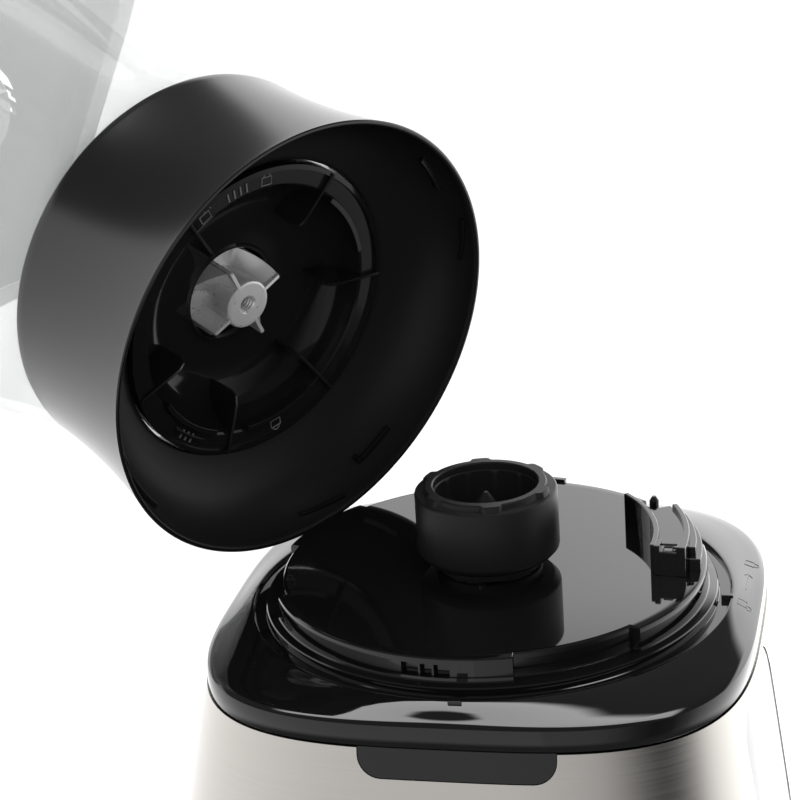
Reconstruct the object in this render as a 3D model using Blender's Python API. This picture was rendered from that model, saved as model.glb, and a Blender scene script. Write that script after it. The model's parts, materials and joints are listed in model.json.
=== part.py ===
"""Countertop blender: motor base with a drive coupling, glass jar on a bayonet collar, blade unit, lid and cap.

Lengths below are millimetres. The drive axis is x = y = 0 of the base's own frame and its feet stand on z = 0.
The jar is built upright, as it stands when docked, and hangs from an empty on its tipping axis.
"""
import math

import bmesh
import bpy
import numpy as np
from mathutils import Matrix, Quaternion, Vector

MM = 0.001
N = 40  # points round a large ring

# where the drive axis stands in the row frame, so that the origin is at the middle of the whole footprint
ROW_X, ROW_Y = -55.6, -97.1

# base
SEAT_Z = 200.0  # top of the raised seat
SEAT_R = 70.0
STEEL_TOP = 178.4
STEEL_BOTTOM = 16.0
STEEL_HALF = 87.4  # half width of the wrapper at its top edge
FLARE = 0.175
BOW = 0.00012
BACK_LEAN = 0.04  # how far the wrapper's middle moves back for each mm down
TAB_Y, TAB_WIDE, TAB_DEEP = -4.0, 60.0, 9.2
PANEL_X, PANEL_Z, PANEL_WIDE, PANEL_HIGH = -22.0, 110.4, 52.0, 132.8
KNOB_Z, BUTTON_Z = 90.0, 60.0
SEAT_GAPS = (33, 99, 213, 303)  # middles of the cuts that let the collar's lugs past
SQUARE = 3.3  # how square the plan is
SHEET = 1.4
COUPLING_R, COUPLING_TOP, COUPLING_BOTTOM = 23.0, 226.8, 204.0
PIN_AT = (31.3, -50.0)  # the interlock's pin beside the guide on the seat

# jar, heights from the collar's rim
DOCK_Z = SEAT_Z - 9.2
RIM_R, NECK_R, COLLAR_H, WALL = 76.5, 69.05, 65.7, 2.0
RING_R, RING_Z = 52.2, 26.0
HUB_R, HUB_Z = 8.6, 31.5
JAR_TOP = 232.0
TIP_POINT = (36.85, 68.76, SEAT_Z - 4.35)
TIP_AXIS = (-0.871491, 0.455546, -0.181604)
TIP_DEG = 78.875

MATERIALS = {
    "steel": ((0.62, 0.60, 0.57), 1.0, 0.32),
    "bright_steel": ((0.72, 0.72, 0.70), 1.0, 0.2),
    "black_gloss": ((0.01, 0.01, 0.011), 0.0, 0.08),
    "black_satin": ((0.02, 0.02, 0.021), 0.0, 0.32),
    "grey_matte": ((0.045, 0.045, 0.047), 0.0, 0.55),
    "rubber": ((0.025, 0.025, 0.026), 0.0, 0.7),
    "panel_grey": ((0.6, 0.6, 0.59), 0.0, 0.15),
    "die_cast": ((0.55, 0.55, 0.55), 1.0, 0.3),
    "copper": ((0.72, 0.36, 0.18), 1.0, 0.35),
    "board": ((0.03, 0.2, 0.08), 0.0, 0.5),
    "brass": ((0.75, 0.6, 0.3), 1.0, 0.3),
    "silicone": ((0.75, 0.75, 0.74), 0.0, 0.5),
    "glass": ((0.95, 0.97, 0.97), 0.0, 0.02),
}


def clear_scene():
    for ob in list(bpy.data.objects):
        bpy.data.objects.remove(ob, do_unlink=True)


def material(name):
    mat = bpy.data.materials.get(name)
    if mat is None:
        colour, metallic, rough = MATERIALS[name]
        mat = bpy.data.materials.new(name)
        mat.use_nodes = True
        shader = mat.node_tree.nodes["Principled BSDF"]
        shader.inputs["Base Color"].default_value = (*colour, 1)
        shader.inputs["Metallic"].default_value = metallic
        shader.inputs["Roughness"].default_value = rough
        if name == "glass":
            shader.inputs["Transmission Weight"].default_value = 1.0
            shader.inputs["IOR"].default_value = 1.5
    return mat


def add(name, shape, mat, parent=None, origin=(0, 0, 0)):
    """An object from (verts in mm, faces), with its origin at a point of the parent's frame."""
    verts, faces = shape
    verts = (np.asarray(verts, float) - np.asarray(origin, float)) * MM
    mesh = bpy.data.meshes.new(name)
    mesh.from_pydata(verts.tolist(), [], [list(f) for f in faces])
    bm = bmesh.new()
    bm.from_mesh(mesh)
    bmesh.ops.remove_doubles(bm, verts=bm.verts, dist=1e-7)
    bmesh.ops.recalc_face_normals(bm, faces=bm.faces)
    bm.to_mesh(mesh)
    bm.free()
    ob = bpy.data.objects.new(name, mesh)
    bpy.context.scene.collection.objects.link(ob)
    ob.data.materials.append(material(mat))
    place(ob, parent, origin)
    return ob


def place(ob, parent, origin):
    offset = Vector(parent["frame"]) if parent is not None else Vector((0, 0, 0))
    ob.parent = parent
    ob.location = (Vector(origin) - offset) * MM


def empty(name, at, parent=None, turn=None):
    """A frame: its children are given in the parent's upright coordinates."""
    ob = bpy.data.objects.new(name, None)
    bpy.context.scene.collection.objects.link(ob)
    ob["frame"] = tuple(float(v) for v in at)
    ob.parent = parent
    before = Vector(parent["frame"]) if parent is not None else Vector((0, 0, 0))
    ob.location = (Vector(at) - before) * MM
    if turn is not None:
        ob.rotation_mode = "QUATERNION"
        ob.rotation_quaternion = turn
    return ob


def combine(ob, shapes, operation):
    """The object joined with, or cut by, other shapes given in the same upright coordinates."""
    for shape in shapes:
        tool = add("tool", shape, "steel", None)
        tool.matrix_world = Matrix.Identity(4)
        body = bpy.data.objects.new("body", ob.data)
        bpy.context.scene.collection.objects.link(body)
        body.location = Vector(ob["origin"]) * MM if "origin" in ob else (0, 0, 0)
        mod = body.modifiers.new("combine", "BOOLEAN")
        mod.operation, mod.solver, mod.object = operation, "EXACT", tool
        bpy.context.view_layer.update()
        got = bpy.data.meshes.new_from_object(body.evaluated_get(bpy.context.evaluated_depsgraph_get()))
        bpy.data.objects.remove(body, do_unlink=True)
        bpy.data.objects.remove(tool, do_unlink=True)
        bm = bmesh.new()
        bm.from_mesh(got)
        bmesh.ops.remove_doubles(bm, verts=bm.verts, dist=2e-6)
        bmesh.ops.dissolve_degenerate(bm, edges=bm.edges, dist=2e-6)
        bm.to_mesh(got)
        bm.free()
        got.name = ob.name
        ob.data = got
        ob.data.materials.clear()
        ob.data.materials.append(material(ob["mat"]))


def solid(name, shape, mat, parent, origin=(0, 0, 0), join=(), cut=()):
    ob = add(name, shape, mat, parent, origin)
    ob["origin"], ob["mat"] = tuple(float(v) for v in origin), mat
    combine(ob, join, "UNION")
    combine(ob, cut, "DIFFERENCE")
    return ob


# ---- shapes -------------------------------------------------------------------------------------------------
def angles(n=N):
    return np.arange(n) * 2 * np.pi / n


def ring(radius, z, n=N, at=(0, 0)):
    """A ring of points: radius is a number or one value per point."""
    t = angles(n)
    r = np.broadcast_to(radius, t.shape)
    return np.stack([at[0] + r * np.cos(t), at[1] + r * np.sin(t), np.full_like(t, z)], 1)


def squared(half, power=SQUARE, n=N):
    """Radii of a rounded square with softly bowed sides."""
    t = angles(n)
    return half / (np.abs(np.cos(t)) ** power + np.abs(np.sin(t)) ** power) ** (1 / power)


def filleted(half, corner, n=N):
    """Radii of a square with flat sides and round corners."""
    t = (angles(n) + np.pi / 4) % (np.pi / 2) - np.pi / 4
    c, s = np.cos(np.abs(t)), np.sin(np.abs(t))
    k = half - corner
    flat = half * s / c <= k
    bend = k * (c + s) + np.sqrt(np.maximum(corner**2 - k**2 * (1 - 2 * c * s), 0))
    return np.where(flat, half / c, bend)


def loft(rings, loop=False):
    """Skin through rings with the same point count: capped at both ends, or closed on itself."""
    n = len(rings[0])
    verts = np.concatenate(rings)
    faces = []
    last = len(rings) if loop else len(rings) - 1
    for i in range(last):
        a, b = i * n, ((i + 1) % len(rings)) * n
        for k in range(n):
            m = (k + 1) % n
            faces.append((a + k, a + m, b + m, b + k))
    if not loop:
        faces.append(tuple(range(n))[::-1])
        faces.append(tuple((len(rings) - 1) * n + k for k in range(n)))
    return verts, faces


def turned(profile, n=N, loop=True, at=(0, 0)):
    """A profile of (radius, z) turned round a vertical axis. A loop has a hole down its middle."""
    return loft([ring(r, z, n, at) for r, z in profile], loop)


def disc(r, z0, z1, n=16, at=(0, 0)):
    return turned([(r, z0), (r, z1)], n, False, at)


def pipe(r0, r1, z0, z1, n=16, at=(0, 0)):
    """A tube from inner radius r0 to outer radius r1."""
    return turned([(r1, z0), (r1, z1), (r0, z1), (r0, z0)], n, True, at)


def block(lo, hi):
    (x0, y0, z0), (x1, y1, z1) = lo, hi
    v = [(x, y, z) for z in (z0, z1) for x, y in ((x0, y0), (x1, y0), (x1, y1), (x0, y1))]
    return v, [(3, 2, 1, 0), (4, 5, 6, 7), (0, 1, 5, 4), (1, 2, 6, 5), (2, 3, 7, 6), (3, 0, 4, 7)]


def prism(outline, z0, z1):
    """An outline of (x, y) drawn upwards from z0 to z1."""
    o = np.asarray(outline, float)
    return loft([np.column_stack([o, np.full(len(o), z)]) for z in (z0, z1)])


def turn(shape, axis, degrees, at=(0, 0, 0)):
    verts, faces = shape
    m = Matrix.Rotation(math.radians(degrees), 3, axis)
    return [Vector(at) + m @ (Vector(v) - Vector(at)) for v in verts], faces


def rounded(width, height, radius, steps=4):
    """A rounded rectangle's outline about the origin."""
    out = []
    for cx, cy, a in ((1, 1, 0), (-1, 1, 90), (-1, -1, 180), (1, -1, 270)):
        for k in range(steps + 1):
            t = math.radians(a + 90 * k / steps)
            x = cx * (width / 2 - radius) + radius * math.cos(t)
            out.append((x, cy * (height / 2 - radius) + radius * math.sin(t)))
    return out


def facing(outline, centre, depth0, depth1, way):
    """An outline in a wall's plane, from depth0 to depth1 along the wall's outward normal."""
    normal, side = {"-Y": ((0, -1, 0), (1, 0, 0)), "+Y": ((0, 1, 0), (-1, 0, 0)),
                    "-X": ((-1, 0, 0), (0, -1, 0)), "+X": ((1, 0, 0), (0, 1, 0))}[way]
    normal, side, up = Vector(normal), Vector(side), Vector((0, 0, 1))
    rings = []
    for d in (depth0, depth1):
        rings.append(np.array([Vector(centre) + normal * d + side * x + up * y for x, y in outline]))
    return loft(rings)


def sector(r0, r1, a0, a1, z0, z1, steps=5):
    """Part of a tube between two angles in degrees."""
    t = np.radians(np.linspace(a0, a1, steps + 1))
    outline = [(r1 * math.cos(a), r1 * math.sin(a)) for a in t]
    outline += [(r0 * math.cos(a), r0 * math.sin(a)) for a in t[::-1]]
    return prism(outline, z0, z1)


def fin(profile, thick):
    """A flat plate in the plane of the drive axis, from an outline of (radius, z)."""
    return loft([np.array([(r, side * thick / 2, z) for r, z in profile]) for side in (-1, 1)])


def half_at(z):
    """Half width of the steel wrapper's outside at a height."""
    down = STEEL_TOP - z
    return STEEL_HALF + FLARE * down - BOW * down**2


def back_at(z):
    """How far back the wrapper's middle is at a height."""
    return BACK_LEAN * (STEEL_TOP - z)


def shell_ring(inset, z, half=None):
    """The wrapper's outline at a height, moved in by inset, or a small one about its middle."""
    out = ring(squared(half if half else half_at(z) - inset), z)
    out[:, 1] += back_at(z)
    return out


# ---- base ---------------------------------------------------------------------------------------------------
def base_shell(base):
    heights = [STEEL_TOP, 145, 100, 55, STEEL_BOTTOM]
    outer = [shell_ring(0, z) for z in heights]
    inner = [shell_ring(SHEET, z) for z in heights[::-1]]
    notch = rounded(TAB_WIDE, 26, 7)
    cuts = [facing(notch, (0, TAB_Y, STEEL_TOP - TAB_DEEP + 13), 60, 120, side) for side in ("-X", "+X")]
    cuts.append(facing(rounded(PANEL_WIDE + 1, PANEL_HIGH + 1, 16), (PANEL_X, 0, PANEL_Z), 60, 125, "-Y"))
    cuts.append(facing(rounded(17, 17, 8.4), (0, 0, 40), 60, 130, "+Y"))
    solid("base_shell", loft(outer + inner, True), "steel", base, cut=cuts)


def top_cover(base):
    top = SEAT_Z
    rings = [
        ring(squared(86.9), 178.9), ring(squared(86.6), 185.2), ring(squared(86.1), 186.2),
        ring(squared(85.2), 186.7), ring(squared(85.2) * 0.5 + 0.5 * 80.5, 188.4), ring(78.2, 190.3),
        ring(77.7, 190.1), ring(77.5, 189.0), ring(73.2, 189.0), ring(73.0, 192.0),
        ring(SEAT_R + 0.3, 192.2), ring(SEAT_R, top - 0.5), ring(SEAT_R - 0.5, top),
        ring(26, top), ring(24.5, top - 1.2), ring(12, top - 1.2), ring(12, top - 4.2), ring(66.8, top - 4.2),
        ring(67.0, 185.8), ring(squared(85.2) * 0.5 + 0.5 * 78, 184.6), ring(squared(82.8), 183.6),
        ring(squared(82.8), 171.0), ring(squared(84.5), 171.0), ring(squared(84.6), 178.9),
    ]
    gaps = [sector(67.4, 72.6, a - 17, a + 17, 192.6, top + 2) for a in SEAT_GAPS]
    arc = sector(52.6, 55.2, -96, -48, top - 2, top + 10)
    shelf = sector(54.6, 63.4, -97, -62, top - 2, top + 8.6)
    outer = sector(60.6, 64.6, -96.5, -66, top - 2, top + 10)
    gaps.append(disc(2.1, top - 20, top + 20, 12, PIN_AT))
    solid("top_cover", loft(rings, True), "black_gloss", base, join=(arc, shelf, outer), cut=gaps)


def side_tabs(base):
    for side, name in (("-X", "left_side_tab"), ("+X", "right_side_tab")):
        outline = [(x, min(y, TAB_DEEP - 13.1)) for x, y in rounded(TAB_WIDE - 0.8, 25.2, 6.8)]
        outline = [p for i, p in enumerate(outline) if p not in outline[:i]]
        plate = facing(outline, (0, TAB_Y, STEEL_TOP - TAB_DEEP + 13), 86.2, 88.2, side)
        solid(name, plate, "grey_matte", base)


def control_front(base):
    """The panel set into the front, with its knob and three buttons."""
    lean = math.degrees(math.atan(FLARE - BACK_LEAN - 0.02))
    pivot = (PANEL_X, back_at(96) - half_at(96), 96)
    middle = (PANEL_X, 0, PANEL_Z)
    plate = facing(rounded(PANEL_WIDE, PANEL_HIGH, 15.5), middle, 60, 125, "-Y")
    heights = (180, 150, 120, 90, 60, 30)
    behind = loft([shell_ring(2.5, z) for z in heights])
    front = loft([shell_ring(0.4, z) for z in heights] + [shell_ring(-40, z) for z in heights[::-1]], True)
    holes = [facing(rounded(2 * r, 2 * r, r * 0.99, 5), (PANEL_X + x, 0, z), 60, 125, "-Y")
             for x, z, r in ((0, KNOB_Z, 6.0), (-16, BUTTON_Z, 6.6), (0, BUTTON_Z, 6.6), (16, BUTTON_Z, 6.6))]
    solid("control_panel", plate, "panel_grey", base, cut=[behind, front] + holes)
    tilt = Matrix.Rotation(math.radians(-lean), 3, "X")
    out = tilt @ Vector((0, -1, 0))

    def on_panel(x, z, depth=0.0):
        return Vector(pivot) + tilt @ Vector((x, 0, z - 96)) + out * depth

    def stud(r, x, z, d0, d1, n=16, taper=0.0):
        side, up = Vector((1, 0, 0)), tilt @ Vector((0, 0, 1))
        rings = []
        for d, rr in ((d0, r), (d1, r - taper)):
            c = on_panel(x, z, d)
            rings.append(np.array([c + side * rr * math.cos(t) + up * rr * math.sin(t) for t in angles(n)]))
        return loft(rings)

    knob = stud(19, 0, KNOB_Z, 0.6, 15.0, 28, 2.0)
    post = stud(4.2, 0, KNOB_Z, -22, 1.5, 12)
    px, py, _ = pivot
    pointer = turn(block((px - 1.2, py - 16.0, KNOB_Z + 5), (px + 1.2, py - 13.5, KNOB_Z + 16)), "X", -lean, pivot)
    solid("speed_knob", knob, "bright_steel", base, on_panel(0, KNOB_Z, 0.6), join=(post, pointer))
    for name, x in (("pulse_button", -16), ("ice_button", 0), ("power_button", 16)):
        solid(name, stud(6.2, x, BUTTON_Z, -7.0, 2.2, 20, 0.4), "black_satin", base, on_panel(x, BUTTON_Z, 0),
              join=(stud(2.6, x, BUTTON_Z, -10.5, -6.0, 10),))
    board = turn(block((px - 25, py + 16.6, 46), (px + 25, py + 18.2, 112)), "X", -lean, pivot)
    switches = [stud(4.6, x, BUTTON_Z, -17.0, -12.6, 10) for x in (-16, 0, 16)]
    solid("control_board", board, "board", base, join=switches, cut=(stud(5.2, 0, KNOB_Z, -30, -10, 12),))
    solid("speed_switch", stud(13, 0, KNOB_Z, -34.0, -23.0, 16), "grey_matte", base)


def bottom(base):
    rings = [shell_ring(0, 5.0, 1.0), shell_ring(5.0, 5.0), shell_ring(0.3, 9.0), shell_ring(0.3, 15.6),
             shell_ring(2.5, 15.6), shell_ring(2.7, 24.0), shell_ring(4.7, 24.0), shell_ring(7.0, 8.0),
             shell_ring(0, 8.0, 1.0)]
    slots = [block((x - 2, -30, 0), (x + 2, 30, 12)) for x in (-60, -52, -44, 44, 52, 60)]
    solid("bottom_pan", loft(rings), "black_satin", base, cut=slots)
    for k, (x, y) in enumerate(((-1, -1), (1, -1), (1, 1), (-1, 1))):
        at = (x * 80, y * 80 + back_at(0))
        foot = turned([(9.5, 0), (10.5, 1.0), (11.5, 4.9)], 16, False, at)
        solid(f"foot_{k + 1}", foot, "rubber", base)
    r = half_at(40) + back_at(40)
    gland = facing(rounded(16, 16, 7.9), (0, 0, 40), r - 8, r + 6.6, "+Y")
    flange = facing(rounded(22, 22, 10.8), (0, 0, 40), r + 2.9, r + 5.3, "+Y")
    bore = facing(rounded(6.4, 6.4, 3.1), (0, 0, 40), r - 20, r + 20, "+Y")
    solid("cord_gland", gland, "rubber", base, join=(flange,), cut=(bore,))


def motor(base):
    """A universal motor on a cradle, with its shaft up through the seat to the drive coupling."""
    legs = [sector(51, 57, a - 9, a + 9, 8.3, 62) for a in (45, 135, 225, 315)]
    solid("motor_cradle", pipe(22, 58, 58, 63), "grey_matte", base, join=legs)
    poles = [sector(34, 38.5, a - 34, a + 34, 82, 130) for a in (0, 180)]
    solid("motor_stator", pipe(37.5, 48, 84, 128, 32), "steel", base, join=poles)
    for k, a in enumerate((0, 180)):
        coil = sector(31.4, 36.9, a + 37, a + 143, 78, 134, 12)
        solid(f"field_coil_{k + 1}", coil, "copper", base)
    bosses = [disc(4.5, 67, 83.7, 10, (42.5 * math.cos(t), 42.5 * math.sin(t)))
              for t in np.radians((45, 135, 225, 315))]
    lower = turned([(48, 63.3), (48, 67.5), (13.2, 67.5), (13.2, 75), (8.3, 75), (8.3, 63.3)], 32)
    solid("lower_bracket", lower, "die_cast", base, join=bosses)
    upper = turned([(48, 128.3), (48, 133), (40.4, 133), (40.4, 168), (13.2, 168), (13.2, 174), (8.3, 174),
                    (8.3, 164), (37, 164), (37, 136), (41, 132), (41, 128.3)], 32)
    vents = [sector(30, 60, a - 14, a + 14, 142, 158) for a in range(0, 360, 60)]
    solid("upper_bracket", upper, "die_cast", base, cut=vents)
    solid("lower_bearing", pipe(4.3, 8.0, 64, 71, 16), "bright_steel", base)
    solid("upper_bearing", pipe(4.3, 8.0, 165, 173, 16), "bright_steel", base)
    solid("shaft_seal", pipe(4.6, 11.7, 196.2, 199.4, 16), "rubber", base)
    shaft = turned([(4.0, 60), (4.0, 206.5), (3.6, 207)], 16, False)
    solid("motor_shaft", shaft, "bright_steel", base)
    core = [sector(21, 30.2, a - 11, a + 11, 88, 124, 3) for a in range(0, 360, 45)]
    solid("rotor_core", pipe(4.1, 22, 86, 126, 24), "steel", base, join=core)
    solid("commutator", pipe(4.1, 11.5, 76.5, 85.6, 20), "copper", base)
    for k, side in enumerate((-1, 1)):
        xs = sorted((side * 12.0, side * 29))
        solid(f"carbon_brush_{k + 1}", block((xs[0], -3.4, 77.2), (xs[1], 3.4, 84.2)), "grey_matte", base)
    blades = [turn(block((8, -0.7, 143), (29, 0.7, 157)), "Z", a) for a in range(0, 360, 40)]
    solid("cooling_fan", pipe(4.1, 9.5, 142, 158, 20), "grey_matte", base,
          join=[turned([(30, 142), (30, 143.6), (9, 143.6), (9, 142)], 24)] + blades)
    for k, t in enumerate(np.radians((0, 90, 180, 270))):
        x, y = 44.4 * math.cos(t), 44.4 * math.sin(t)
        screw = turned([(3.2, 133.3), (3.2, 136.5)], 10, False, (x, y))
        solid(f"motor_screw_{k + 1}", screw, "brass", base)
    lobes = []
    for k in range(6):
        a = math.radians(15 + 60 * k)
        lobes.append(disc(1.5, 220, 227.8, 6, (18.2 * math.cos(a), 18.2 * math.sin(a))))
    sleeve = turned([(COUPLING_R - 2.2, COUPLING_BOTTOM), (COUPLING_R, COUPLING_BOTTOM + 2.5),
                     (COUPLING_R, COUPLING_TOP - 1.2), (COUPLING_R - 0.9, COUPLING_TOP - 0.3),
                     (19.8, COUPLING_TOP - 0.3), (19.4, 228.0), (17.2, 228.0), (16.8, 226.0),
                     (16.6, 209.0), (6.2, 209.0), (6.2, COUPLING_BOTTOM)], 32)
    solid("drive_coupling", sleeve, "rubber", base, join=lobes)
    neck = turned([(5.8, 201.2), (5.8, 211.0), (4.6, 215.0), (1.0, 220.4), (0.35, 220.7)], 16, False)
    solid("drive_spindle", neck, "grey_matte", base, cut=(disc(4.05, 199, 207.3, 16),))


def interlock(base):
    """A sprung pin beside the seat's guide that the docked collar presses, and its switch."""
    x, y = PIN_AT
    solid("interlock_pin", turned([(1.6, 188.0), (1.6, 209.5), (0.7, 211.0)], 12, False, PIN_AT),
          "black_satin", base, origin=(x, y, SEAT_Z))
    solid("interlock_switch", block((x - 8, y - 5, 168), (x + 8, y + 5, 181)), "grey_matte", base)


# ---- jar ----------------------------------------------------------------------------------------------------
def flare(z):
    return NECK_R + (RIM_R - NECK_R) * max(0.0, 1 - z / COLLAR_H) ** 2.1


def collar(jar):
    up = [0, 0.8, 6, 13, 21, 31, 43, COLLAR_H - 0.8, COLLAR_H]
    outer = [(flare(z) - (0.5 if z in (0, COLLAR_H) else 0), DOCK_Z + z) for z in up]
    inner = [(65.6, DOCK_Z + COLLAR_H), (65.4, DOCK_Z + 33.4), (53.0, DOCK_Z + 33.4),
             (53.0, DOCK_Z + 27.5), (66.0, DOCK_Z + 27.2), (flare(21) - WALL, DOCK_Z + 21),
             (flare(10) - WALL, DOCK_Z + 10), (flare(0.4) - WALL, DOCK_Z + 0.2)]
    lugs = [sector(70.9, 73.4, a - 6, a + 6, DOCK_Z + 9, DOCK_Z + 11.6) for a in (-145, -55, 35, 125)]
    solid("collar", turned(outer + inner), "black_satin", jar, join=lugs)


def glass_levels():
    """Height, half width and corner radius of the glass outside, from the neck to the mouth."""
    return [(33.6, 62.5, 62.5), (36, 64.2, 64.2), (66.2, 64.4, 64.0), (71, 64.8, 48),
            (84, 66.0, 36), (103, 70.0, 31.5), (124, 73.8, 30.5), (160, 77.0, 29.5),
            (JAR_TOP - 1, 79.4, 28.5), (JAR_TOP, 78.8, 28.2)]


def glass_jar(jar):
    levels = glass_levels()
    outer = [ring(filleted(h, c), DOCK_Z + z) for z, h, c in levels]
    thick = 4.2
    inner = [ring(filleted(h - thick, max(c - thick, 3)), DOCK_Z + z) for z, h, c in levels[3:][::-1]]
    inner += [ring(55.5, DOCK_Z + 46), ring(46.5, DOCK_Z + 39.5), ring(45.8, DOCK_Z + 33.6)]
    grip = []
    path = [(70, 196), (94, 204), (109, 200), (115, 184), (112, 156), (102, 128), (86, 112), (68, 112)]
    for i, (x, z) in enumerate(path):
        a, b = Vector(path[max(i - 1, 0)]), Vector(path[min(i + 1, len(path) - 1)])
        along = (b - a).normalized()
        across = Vector((-along.y, along.x))
        wide, thin = 11.0, 6.5
        pts = []
        for t in angles(12):
            o = Vector((x, z)) + across * thin * math.sin(t)
            pts.append((o.x, wide * math.cos(t), DOCK_Z + o.y))
        grip.append(np.array(pts))
    hollow = loft([ring(filleted(h - 2.5, max(c - 2.5, 3)), DOCK_Z + z) for z, h, c in levels[4:]])
    tool = add("grip", loft(grip), "glass")
    tool["origin"], tool["mat"] = (0.0, 0.0, 0.0), "glass"
    combine(tool, (hollow,), "DIFFERENCE")
    mesh = tool.data
    grip_shape = ([v.co * 1000 for v in mesh.vertices], [tuple(p.vertices) for p in mesh.polygons])
    bpy.data.objects.remove(tool, do_unlink=True)
    solid("glass_jar", loft(outer + inner, True), "glass", jar, join=(grip_shape,))


def blade_unit(jar):
    z = DOCK_Z
    under = [(RING_R, z + RING_Z), (45.0, z + RING_Z), (43.8, z + 28.5), (42.2, z + 33), (38, z + 38),
             (30, z + 40.6), (16.6, z + 41.6), (16.4, z + 50.4), (6.3, z + 50.4)]
    over = [(6.3, z + 64), (11.5, z + 64), (18.8, z + 53.5), (20, z + 47), (34, z + 45.4),
            (44.6, z + 38), (44.9, z + 30.6), (RING_R, z + 30.6)]
    ribs = []
    for a in (-147, -77, -20, 30, 83, 140):
        rim = [(51.6, 23.8), (51.6, 26.6), (45.4, 26.6), (44.4, 31), (41, 38), (34, 40.6), (35, 29), (43, 23.8)]
        ribs.append(turn(fin([(r, z + h) for r, h in rim], 1.6), "Z", a))
    solid("blade_unit_base", turned(under + over), "black_gloss", jar, join=ribs)
    solid("blade_unit_gasket", pipe(46.2, 51.6, z + 30.8, z + 33.3, N), "silicone", jar)
    solid("shaft_bush", pipe(4.3, 6.1, z + 51, z + 63.5, 16), "brass", jar)
    solid("blade_shaft", disc(4.0, z + 44, z + 76, 16), "bright_steel", jar)
    hub = turned([(HUB_R - 0.4, z + HUB_Z), (HUB_R, z + HUB_Z + 0.6), (HUB_R, z + 45), (15.3, z + 45.4),
                  (15.3, z + 48.6), (4.1, z + 48.6), (4.1, z + 43.8), (2.7, z + 43.8), (2.7, z + HUB_Z)], 24)
    fins = [turn(block((HUB_R - 1.5, -0.7, z + 32.1), (15.0, 0.7, z + 46)), "Z", a) for a in (38, 128, 218, 308)]
    solid("driven_coupling", hub, "die_cast", jar, join=fins)
    solid("blade_spacer", pipe(4.1, 7.5, z + 64.4, z + 67.0, 16), "bright_steel", jar)
    blade("lower_blade", jar, z + 67.2, 0, ((9, 0, 0), (22, 2.5, -1), (34, 13.0, -4)))
    blade("upper_blade", jar, z + 69.0, 90, ((9, 0, 0), (20, 4.5, 1), (28, 16.0, 5)))
    solid("blade_nut", prism([(6.5 * math.cos(t), 6.5 * math.sin(t)) for t in angles(6)], z + 70.8, z + 75.5),
          "bright_steel", jar, cut=(disc(4.05, z + 60, z + 80, 16),))


def blade(name, jar, z, spin, stations):
    """A pair of cutting arms bent up or down from a flat centre, with a hole for the shaft."""
    thick = 1.5
    rings = []
    arms = [(-r, h, sweep) for r, h, sweep in stations[::-1]] + list(stations)
    flip = -1 if name.startswith("lower") else 1
    for r, h, sweep in arms:
        width = 8.5 - 0.14 * abs(r)
        off = sweep * (1 if r > 0 else -1)
        h = h * flip * 0.55 if flip < 0 else h
        rings.append(np.array([(r, off - width, z + h), (r, off + width * 0.8, z + h),
                               (r, off + width, z + h + thick), (r, off - width * 0.9, z + h + thick)]))
    shape = turn(loft(rings), "Z", spin)
    solid(name, shape, "bright_steel", jar, cut=(disc(4.15, z - 5, z + 8, 16),))


def lid(jar):
    z = DOCK_Z + JAR_TOP
    cover = [ring(filleted(80.6, 29.6), z - 6), ring(filleted(83.0, 32), z - 6), ring(filleted(83.2, 32), z + 3),
             ring(filleted(80.5, 30), z + 8), ring(60, z + 13), ring(33, z + 15), ring(29, z + 18),
             ring(26.6, z + 18), ring(26.2, z - 8), ring(29, z - 8), ring(31, z + 0.6),
             ring(filleted(71.0, 20), z + 0.6), ring(filleted(71.0, 20), z - 9), ring(filleted(73.0, 22), z - 9),
             ring(filleted(73.2, 22), z + 0.6), ring(filleted(80.6, 29.6), z + 0.6)]
    solid("lid", loft(cover, True), "black_satin", jar)
    seal = [ring(filleted(73.3, 22.1), z - 8.4), ring(filleted(74.2, 23.2), z - 7.6),
            ring(filleted(74.2, 23.2), z - 3.2), ring(filleted(73.3, 22.1), z - 2.4)]
    solid("lid_seal", loft(seal, True), "silicone", jar)
    cap = turned([(25.6, z - 26), (26.0, z + 18.4), (29.2, z + 18.4), (29.2, z + 22), (27, z + 24), (4, z + 24),
                  (3.9, z + 21.4), (23.2, z + 21.4), (23.0, z - 26)], 28)
    plug = disc(4.6, z + 21.6, z + 24.4, 24)
    solid("measuring_cap", cap, "silicone", jar, join=(plug,))


def main():
    clear_scene()
    base = empty("base_frame", (0, 0, 0))
    base_shell(base)
    top_cover(base)
    side_tabs(base)
    control_front(base)
    bottom(base)
    motor(base)
    interlock(base)
    turned_by = Quaternion(Vector(TIP_AXIS), math.radians(TIP_DEG))
    jar = empty("jar_tip_axis", TIP_POINT, base, turned_by)
    collar(jar)
    glass_jar(jar)
    blade_unit(jar)
    lid(jar)
    base.location = (ROW_X * MM, ROW_Y * MM, 0)
    for ob in bpy.data.objects:
        for key in ("frame", "origin", "mat"):
            if key in ob:
                del ob[key]
    bpy.context.view_layer.update()


main()
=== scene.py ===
"""Looks of a countertop blender whose jar has been tipped off its motor base.

The drive axis, the jar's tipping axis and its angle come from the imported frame. Sizes are millimetres:
base pieces are given round the drive axis above the floor, jar pieces as they stand when the jar is docked.
"""
import json
import logging
import math
from collections.abc import Callable, Sequence
from dataclasses import dataclass
from enum import Enum

import bmesh
import bpy
import numpy as np
from mathutils import Matrix, Quaternion, Vector
from mathutils.bvhtree import BVHTree


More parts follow.
